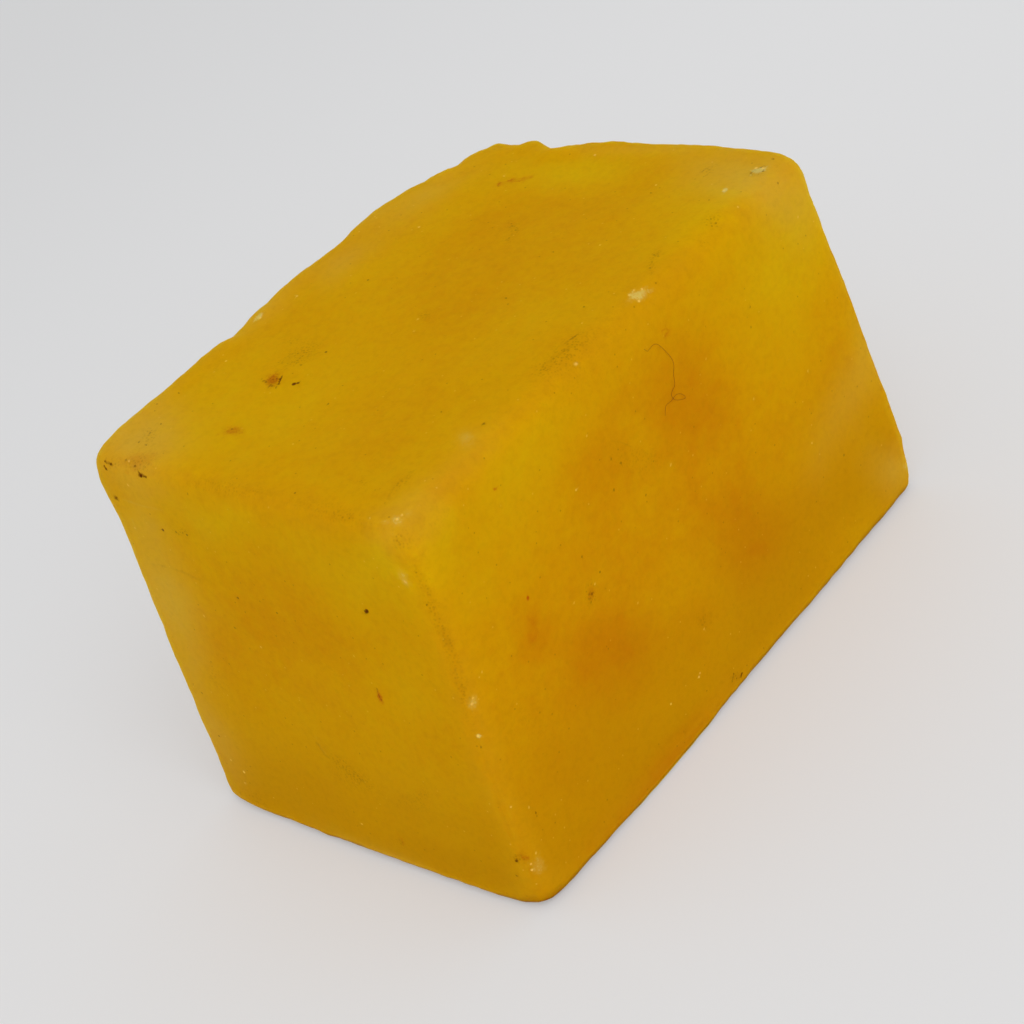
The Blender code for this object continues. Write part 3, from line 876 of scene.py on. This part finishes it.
def lay_marks(mesh, spots, strokes, dots, seed):
    """Writes how much of every kind of mark each point carries, and the marks' relief."""
    places = mesh_places(mesh)
    normals = mesh_normals(mesh)
    base_rows = places[:, 2] < BASE_EXACT
    ragged = layered_noise(places, RAGGED, seed + 5)
    billow = layered_noise(places, BILLOWS, seed + 7)
    layers = {kind: np.zeros(len(places)) for kind in (*MARK_TABLES, *DOT_TABLES)}
    hidden = ease(normals @ np.array(CAMERA_AHEAD) * HIDDEN_GAIN)
    for spot in spots:
        away = spot.away(places)
        amount = spot.amount * hidden if spot.stray else spot.amount
        if spot.kind in SOFT_KINDS:
            layers[spot.kind] += amount * np.exp(-(away * (1 + billow) * SOFT_FALL) ** 2)
        else:
            share = amount * ease((SPOT_RIM - away * (1 + ragged)) * SPOT_FALL)
            layers[spot.kind] = np.maximum(layers[spot.kind], share)
    broken = np.clip(BREAK_LEVEL + layered_noise(places, BREAKS, seed + 9), 0, 1)
    for kind, width, amount, line in strokes:
        away = stroke_distance(places, line)[0] / width
        share = amount * ease((STROKE_RIM - away * (1 + ragged)) * STROKE_FALL) * broken
        layers[kind] = np.maximum(layers[kind], share)
    for kind, place, radius, strength in dots:
        share = strength * DOT_PEAK * (1 - np.linalg.norm(places - place, axis=1) / radius)
        layers[kind] = np.maximum(layers[kind], share)
    for layer, values in layers.items():
        store_layer(mesh, layer, values)
    crumbs = layered_noise(places, CRUMBS, seed + 10)
    push = layers["bruise"] * (crumbs - BRUISE_DEPTH) - layers["soil"] * SOIL_DEPTH
    put_places(mesh, keep_in_box(places + normals * push[:, None], base_rows))


# ---------------------------------------------------------------- materials
# Sizes are millimetres. A noise is its size, detail and roughness; an amount says how far it tints.

BROAD = (9.0, 1.0)
BROAD_AMOUNT = 0.9
WISPS = (3.0, 2.0, 0.55)
WISP_STRETCH = (0.45, 1.0, 1.0)
WISP_AMOUNT = 0.35
GREY = (0.75, 3.0, 0.65)
MOTTLE_AMOUNT = 0.65
SCUFF_LEVEL = 0.75
SCUFF_AMOUNT = 1.6
GLOW_CLEARS_EDGE = 0.50    # how far a clear place takes the duller edge colour away
SHEEN_GRAIN_AMOUNT = 0.8
GRAINS = (0.12, 2.0, 0.6)
FRECKLE_LEVEL = 0.46
FRECKLE_AMOUNT = 0.17
BLOTS = (0.36, 1.0)
BLOT_LEVEL = 0.45
BLOT_AMOUNT = 0.20
GRIT = (0.17, 0.085)       # spacing and radius
GRIT_AMOUNT = 0.75
GRIME_STAIN = 0.05
RUST_SMOOTH = 0.65         # shares of a layer that aren't broken up into grains
BRUISE_SMOOTH = 0.38
SOIL_SMOOTH = 0.45
GRAIN_LIFT = 1.2
GRAIN_CUT = 0.92
GRAIN_EDGE = 3.0
GRAIN_REACH = 2.5
DUST = (0.71, 0.07)        # spacing and radius
DUST_AMOUNT = 0.35
PALE_DUST = 0.45           # share of the dust that is pale
DOT_EDGE = 1.8
# painted contact shade along the base, partly dirt, on foot edges that face down
CONTACT_FACING = (-0.15, -0.60)  # how far a foot edge faces down where it starts and ends to darken
CONTACT_SHADE_AMOUNT = 0.85
LIGHT_COLOURS = (1.0, 0.75, 0.2)  # how far red, green and blue light wanders, as shares
LINT_PATCHES = (0.5, 2.0)
LINT_DARK = 0.6
LINT_PALE = 1.7
LINT_ROUGHNESS = 0.7
LINT_GLOSS = 0.1
# painted shade: the floor darker towards its far side
FLOOR_FADE = (20, 120)     # depth over which the floor turns deeper
FLOOR_FAR_SHADE = 0.84
FLOOR_ROUGHNESS = 0.75
FLOOR_GLOSS = 0.2
FLOOR_LIGHT = 0.29
WHITE = (1.0, 1.0, 1.0, 1.0)


class Recipe:
    """A short hand for a material's nodes. Colours are painted over each other in turn."""

    def __init__(self, name, colour):
        self.material = bpy.data.materials.new(name)
        self.material.use_nodes = True
        self.tree = self.material.node_tree
        self.shader = self.tree.nodes["Principled BSDF"]
        self.colour = colour

    def node(self, kind, inputs=(), **values):
        """A node with its inputs linked or set, and its own settings."""
        made = self.tree.nodes.new(kind)
        for name, value in values.items():
            setattr(made, name, value)
        for socket, value in dict(inputs).items():
            if isinstance(value, bpy.types.NodeSocket):
                self.tree.links.new(value, made.inputs[socket])
            else:
                made.inputs[socket].default_value = value
        return made

    def maths(self, operation, first, second=0.0, clamp=False):
        """One sum, held between 0 and 1 where asked."""
        made = self.node("ShaderNodeMath", {0: first, 1: second}, operation=operation)
        made.use_clamp = clamp
        return made.outputs[0]

    def noise(self, where, size, detail, roughness=0.5, stretch=None):
        """A cloudy noise from 0 to 1."""
        if stretch:
            where = self.node("ShaderNodeMapping", {"Vector": where, "Scale": stretch}).outputs[0]
        made = self.node("ShaderNodeTexNoise", {
            "Vector": where, "Scale": 1 / (size * MM), "Detail": detail, "Roughness": roughness,
        })
        return made.outputs["Fac"]

    def centred(self, value, strength):
        """A 0 to 1 noise turned into one around zero."""
        return self.maths("MULTIPLY", self.maths("SUBTRACT", value, 0.5), strength)

    def blend(self, share, below, above):
        """One colour over another, each a plain colour or another node's."""
        colours = {
            socket: value if isinstance(value, bpy.types.NodeSocket) else (*value, 1.0)
            for socket, value in ((6, below), (7, above))
        }
        return self.node("ShaderNodeMix", {0: share, **colours}, data_type="RGBA").outputs[2]

    def paint(self, share, colour):
        """Lays a colour over what is painted so far."""
        self.colour = self.blend(share, self.colour, colour)

    def layer(self, name):
        """A value that the mesh keeps for each of its points."""
        return self.node("ShaderNodeAttribute", attribute_name=name).outputs["Fac"]

    def grainy(self, name, grains, smooth_share):
        """A layer that is partly smooth and partly broken up into grains."""
        layer = self.layer(name)
        lifted = self.maths("ADD", layer, self.maths("MULTIPLY", grains, GRAIN_LIFT))
        cut = self.maths("SUBTRACT", lifted, GRAIN_CUT)
        sharp = self.maths("MULTIPLY", cut, GRAIN_EDGE, clamp=True)
        reach = self.maths("MULTIPLY", layer, GRAIN_REACH, clamp=True)
        held = self.maths("MULTIPLY", sharp, reach)
        smooth = self.maths("MULTIPLY", layer, smooth_share)
        return self.maths("ADD", smooth, self.maths("MULTIPLY", held, 1 - smooth_share), clamp=True)

    def dots(self, where, spacing, radius):
        """Small round dots scattered about, 1 in their middles, and a chance for each dot."""
        made = self.node("ShaderNodeTexVoronoi", {"Vector": where, "Scale": 1 / (spacing * MM)})
        away = self.maths("DIVIDE", made.outputs["Distance"], radius / spacing)
        share = self.maths("MULTIPLY", self.maths("SUBTRACT", 1.0, away), DOT_EDGE, clamp=True)
        chance = self.node("ShaderNodeSeparateColor", {0: made.outputs["Color"]}).outputs[0]
        return share, chance

    def close(self, roughness, gloss):
        """The material, with its painted colour, its roughness and its gloss on the shader."""
        self.tree.links.new(self.colour, self.shader.inputs["Base Color"])
        self.shader.inputs["Roughness"].default_value = roughness
        self.shader.inputs["Specular IOR Level"].default_value = gloss
        return self.material


def stone_material(look):
    """Milky, waxy stone: clouds, bruises, soil and dust over deep soft light, with painted light and
    shade: a pale painted sheen on the rubbed, frosted rims, painted shade towards the base, along the
    foot edges and on the front face, and painted light on the left face.
    """
    recipe = Recipe("milky_amber_stone", look.body_colour)
    maths, noise, layer, paint = recipe.maths, recipe.noise, recipe.layer, recipe.paint
    ways = recipe.node("ShaderNodeTexCoord").outputs
    where = ways["Object"]

    broad = recipe.centred(noise(where, *BROAD), BROAD_AMOUNT)
    wisps = recipe.centred(noise(where, *WISPS, stretch=WISP_STRETCH), WISP_AMOUNT)
    grey = noise(where, *GREY)
    mottle = recipe.centred(grey, MOTTLE_AMOUNT)
    drift = maths("ADD", maths("ADD", broad, wisps), mottle)
    # clouds and clear places; on the left face the clear places are also painted light, and the front
    # veil is painted shade
    tone = maths("ADD", drift, maths("SUBTRACT", layer("cloud"), layer("glow")))
    paint(maths("MULTIPLY", tone, -1.0, clamp=True), look.clear_and_lit_colour)
    paint(maths("ADD", tone, 0.0, clamp=True), look.cloud_colour)

    # painted shade: the stone darker towards its base, patchy, and less where it is clearest
    height = recipe.node("ShaderNodeSeparateXYZ", {0: where}).outputs["Z"]
    foot_shade = recipe.node("ShaderNodeMapRange", {
        "Value": height, "From Min": look.foot_shade_height, "From Max": 0.0,
    }, interpolation_type="SMOOTHSTEP").outputs[0]
    patchy = maths("SUBTRACT", maths("ADD", 1.0, broad), layer("glow"))
    paint(maths("MULTIPLY", foot_shade, patchy, clamp=True), look.foot_shade_colour)
    paint(layer("warm"), look.rust_colour)

    scuffs = maths("ADD", SCUFF_LEVEL, recipe.centred(grey, SCUFF_AMOUNT))
    edge = maths("MULTIPLY", layer("edge"), scuffs, clamp=True)
    clearer = maths("MULTIPLY", layer("glow"), GLOW_CLEARS_EDGE)
    paint(maths("SUBTRACT", edge, clearer, clamp=True), look.edge_colour)
    # painted reflection: the pale sheen laid on the rubbed, frosted rims, broken up by the grey noise
    sheen_grain = maths("ADD", recipe.centred(grey, SHEEN_GRAIN_AMOUNT), 1.0)
    paint(maths("MULTIPLY", layer("rim_sheen"), sheen_grain, clamp=True), look.rim_sheen_colour)

    grains = noise(where, *GRAINS)
    fine = maths("MULTIPLY", maths("SUBTRACT", grains, FRECKLE_LEVEL), FRECKLE_AMOUNT, clamp=True)
    blots = maths("SUBTRACT", noise(where, *BLOTS), BLOT_LEVEL)
    blots = maths("MULTIPLY", blots, BLOT_AMOUNT, clamp=True)
    paint(maths("ADD", fine, blots), look.soil_colour)
    paint(recipe.grainy("rust", grains, RUST_SMOOTH), look.rust_colour)
    grime = layer("grime")
    grit = maths("MULTIPLY", recipe.dots(where, *GRIT)[0], grime)
    grit = maths("MULTIPLY", maths("MULTIPLY", grit, grains), GRIT_AMOUNT)
    stain = maths("MULTIPLY", grime, GRIME_STAIN)
    paint(maths("ADD", grit, stain, clamp=True), look.soil_colour)
    paint(recipe.grainy("bruise", grains, BRUISE_SMOOTH), look.bruise_colour)
    paint(recipe.grainy("soil", grains, SOIL_SMOOTH), look.soil_colour)

    dust, chance = recipe.dots(where, *DUST)
    dark = maths("GREATER_THAN", chance, PALE_DUST)
    dust_colour = recipe.blend(dark, look.spark_colour, look.soil_colour)
    paint(maths("MULTIPLY", dust, DUST_AMOUNT), dust_colour)
    paint(layer("pale_dot"), look.spark_colour)
    paint(layer("dark_dot"), look.soil_colour)

    # painted contact shade, partly dirt: the soil colour laid on the foot edges that face down
    facing = recipe.node("ShaderNodeSeparateXYZ", {0: ways["Normal"]}).outputs["Z"]
    contact_shade = recipe.node("ShaderNodeMapRange", {
        "Value": facing, "From Min": CONTACT_FACING[0], "From Max": CONTACT_FACING[1],
        "To Max": CONTACT_SHADE_AMOUNT,
    }).outputs[0]
    paint(maths("MULTIPLY", contact_shade, layer("foot_edge"), clamp=True), look.soil_colour)

    shader = recipe.shader
    shader.inputs["Subsurface Weight"].default_value = 1.0
    shader.inputs["Subsurface Radius"].default_value = LIGHT_COLOURS
    shader.inputs["Subsurface Scale"].default_value = look.light_reach
    shader.subsurface_method = "RANDOM_WALK"
    return recipe.close(look.roughness, look.gloss)


def lint_material(look):
    """Dark red-brown fibre, paler here and there."""
    recipe = Recipe("lint_fibre_brown", [c * LINT_DARK for c in look.colour])
    where = recipe.node("ShaderNodeTexCoord").outputs["Object"]
    recipe.paint(recipe.noise(where, *LINT_PATCHES), [min(1.0, c * LINT_PALE) for c in look.colour])
    return recipe.close(LINT_ROUGHNESS, LINT_GLOSS)


def floor_material(look):
    """Plain pale floor, with painted shade that makes it a little darker towards its far side."""
    recipe = Recipe("pale_floor", look.floor_colour)
    where = recipe.node("ShaderNodeTexCoord").outputs["Object"]
    far = recipe.node("ShaderNodeMapRange", {
        "Value": recipe.node("ShaderNodeSeparateXYZ", {0: where}).outputs["Y"],
        "From Min": FLOOR_FADE[0] * MM, "From Max": FLOOR_FADE[1] * MM,
    }, interpolation_type="SMOOTHSTEP").outputs[0]
    recipe.paint(far, [c * FLOOR_FAR_SHADE for c in look.floor_colour])
    recipe.shader.inputs["Emission Color"].default_value = WHITE
    recipe.shader.inputs["Emission Strength"].default_value = FLOOR_LIGHT
    return recipe.close(FLOOR_ROUGHNESS, FLOOR_GLOSS)


# ---------------------------------------------------------------- operators


class SAPPHIRE_OT_stone(bpy.types.Operator):
    """Build the worn stone with its marks"""

    bl_idname = "sapphire.stone"
    bl_label = "Stone"

    def execute(self, context):
        look = context.scene.sapphire_stone
        skin = fine_skin(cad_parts[STONE_NODE], look.mesh_step)
        edge = edge_share(skin)
        high = ease(mesh_places(skin)[:, 2] / EDGE_FADE)
        store_layer(skin, "edge", edge * high)
        store_layer(skin, "foot_edge", edge * (1 - high))
        wear_skin(skin, edge, look.seed)
        surface = mesh_surface(skin)
        spots = all_spots(surface, mesh_places(skin), mesh_normals(skin), look.seed)
        strokes = all_strokes(surface)
        dots = all_dots(surface)
        refine_marks(skin, spots, strokes, dots)
        lay_marks(skin, spots, strokes, dots, look.seed)
        skin.shade_smooth()
        skin.materials.append(stone_material(look))
        piece = bpy.data.objects.new(STONE_PIECE, skin)
        context.scene.collection.objects.link(piece)
        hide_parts(STONE_NODE)
        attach(piece, STONE_BODY)
        return {"FINISHED"}


class SAPPHIRE_OT_lint(bpy.types.Operator):
    """Lay the curled lint fibre on the stone"""

    bl_idname = "sapphire.lint"
    bl_label = "Lint fibre"

    def execute(self, context):
        look = context.scene.sapphire_lint
        surface = mesh_surface(bpy.data.objects[STONE_PIECE].data)
        radius = look.thickness / MM / 2
        line = []
        for at in LINT_PATH:
            point, normal = surface.seen_at(*at)
            line.append((point + normal * radius * LINT_LIFT) * MM)
        curve = bpy.data.curves.new(LINT_PIECE, "CURVE")
        curve.dimensions = "3D"
        curve.bevel_depth = look.thickness / 2
        curve.bevel_resolution = 1
        curve.resolution_u = 6
        curve.use_fill_caps = True
        thread = curve.splines.new("NURBS")
        thread.points.add(len(line) - 1)
        for knot, place in zip(thread.points, line):
            knot.co = (*place, 1.0)
        thread.use_endpoint_u = True
        thread.order_u = 3
        fibre = baked_mesh(bpy.data.objects.new("lint_helper", curve), LINT_PIECE)
        bpy.data.curves.remove(curve)
        fibre.materials.append(lint_material(look))
        fibre.shade_smooth()
        piece = bpy.data.objects.new(LINT_PIECE, fibre)
        context.scene.collection.objects.link(piece)
        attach(piece, STONE_BODY)
        return {"FINISHED"}


# ---------------------------------------------------------------- stage, in metres

LAMP_PLACE = Vector((-0.24, -0.51, 0.60))
LAMP_SIDE = 0.7
LAMP_COLOUR = (1, 0.99, 0.98)
SKY_COLOUR = (0.99, 0.995, 1.0, 1.0)


def add_soft_lamp(name, power):
    """A large soft lamp that faces the stone."""
    lamp = bpy.data.lights.new(name, "AREA")
    lamp.shape = "RECTANGLE"
    lamp.size = LAMP_SIDE
    lamp.size_y = LAMP_SIDE
    lamp.energy = power
    lamp.color = LAMP_COLOUR
    holder = bpy.data.objects.new(name, lamp)
    holder.location = LAMP_PLACE
    holder.rotation_euler = (-LAMP_PLACE).to_track_quat("-Z", "Y").to_euler()
    bpy.context.scene.collection.objects.link(holder)


class SAPPHIRE_OT_stage(bpy.types.Operator):
    """Set the pale floor, the soft light and the camera"""

    bl_idname = "sapphire.stage"
    bl_label = "Stage"

    def execute(self, context):
        look = context.scene.sapphire_stage
        scene = context.scene
        half = look.floor_size / 2
        mesh = bpy.data.meshes.new("pale_floor")
        corners = [(-half, -half, 0), (half, -half, 0), (half, half, 0), (-half, half, 0)]
        mesh.from_pydata(corners, [], [(0, 1, 2, 3)])
        mesh.materials.append(floor_material(look))
        floor = bpy.data.objects.new("pale_floor", mesh)
        scene.collection.objects.link(floor)
        world = bpy.data.worlds.new("white_surroundings")
        world.use_nodes = True
        sky = world.node_tree.nodes["Background"]
        sky.inputs["Color"].default_value = SKY_COLOUR
        sky.inputs["Strength"].default_value = look.sky_strength
        scene.world = world
        add_soft_lamp("soft_lamp", look.lamp_power)
        lens = bpy.data.cameras.new("camera")
        lens.sensor_width = SENSOR_WIDTH
        lens.lens = LENS_LENGTH
        lens.clip_start = CLIP_START
        lens.clip_end = CLIP_END
        camera = bpy.data.objects.new("camera", lens)
        turn = Matrix((CAMERA_RIGHT, CAMERA_UP, -CAMERA_AHEAD)).transposed().to_4x4()
        camera.matrix_world = Matrix.Translation(CAMERA_PLACE * MM) @ turn
        scene.collection.objects.link(camera)
        scene.camera = camera
        scene.view_settings.view_transform = "Standard"
        return {"FINISHED"}


class SAPPHIRE_PT_panel(bpy.types.Panel):
    """Sidebar panel with the parts of the stone and its stage"""

    bl_label = "Rough sapphire"
    bl_idname = "SAPPHIRE_PT_panel"
    bl_space_type = "VIEW_3D"
    bl_region_type = "UI"
    bl_category = "Sapphire"

    def draw(self, context):
        for settings, operator in (
            ("sapphire_stone", SAPPHIRE_OT_stone),
            ("sapphire_lint", SAPPHIRE_OT_lint),
            ("sapphire_stage", SAPPHIRE_OT_stage),
        ):
            group = getattr(context.scene, settings)
            box = self.layout.box()
            for name in group.__annotations__:
                box.prop(group, name)
            box.operator(operator.bl_idname)


CLASSES = (
    SapphireStoneSettings, SapphireLintSettings, SapphireStageSettings,
    SAPPHIRE_OT_stone, SAPPHIRE_OT_lint, SAPPHIRE_OT_stage, SAPPHIRE_PT_panel,
)


def register():
    for made in CLASSES:
        bpy.utils.register_class(made)
    bpy.types.Scene.sapphire_stone = PointerProperty(type=SapphireStoneSettings)
    bpy.types.Scene.sapphire_lint = PointerProperty(type=SapphireLintSettings)
    bpy.types.Scene.sapphire_stage = PointerProperty(type=SapphireStageSettings)


def unregister():
    del bpy.types.Scene.sapphire_stage
    del bpy.types.Scene.sapphire_lint
    del bpy.types.Scene.sapphire_stone
    for made in reversed(CLASSES):
        bpy.utils.unregister_class(made)


def main():
    register()
    bpy.ops.sapphire.stone()
    bpy.ops.sapphire.lint()
    bpy.ops.sapphire.stage()


if __name__ == "__main__":
    main()
